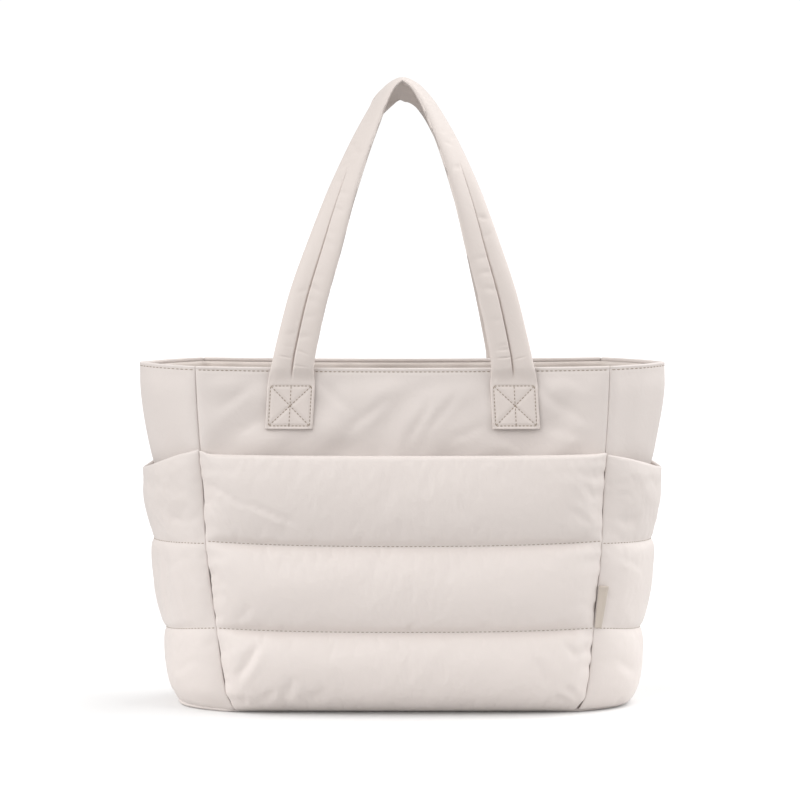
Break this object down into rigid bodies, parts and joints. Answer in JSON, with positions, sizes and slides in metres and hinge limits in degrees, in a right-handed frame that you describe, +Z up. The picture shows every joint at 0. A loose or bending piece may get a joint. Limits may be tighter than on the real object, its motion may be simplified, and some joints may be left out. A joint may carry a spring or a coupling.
{
  "type": "puffer tote bag",
  "caption": "Padded puffer tote bag with a flat base, an open mouth, quilted front and side pockets and two padded shoulder handles.",
  "frame": {"origin": "middle of the flat base, on the surface that the bag stands on", "axes": "+Z up, +X to the right of a viewer who faces the front pocket, -Y towards that viewer"},
  "size_m": [0.474, 0.1911, 0.5626],
  "materials": {
    "padded_cloth": "smooth padded taffeta with a soft sheen",
    "handle_cloth": "smooth padded taffeta with a soft sheen",
    "tab_webbing": "matt woven tape"
  },
  "bodies": {
    "root": {"base_panel": "padded_cloth", "front_panel": "padded_cloth", "back_panel": "padded_cloth", "left_gusset": "padded_cloth", "right_gusset": "padded_cloth", "rim_facing": "padded_cloth", "front_pocket": "padded_cloth", "left_side_pocket": "padded_cloth", "right_side_pocket": "padded_cloth", "side_tab": "tab_webbing", "front_handle": "handle_cloth", "back_handle": "handle_cloth"}
  },
  "joints": []
}
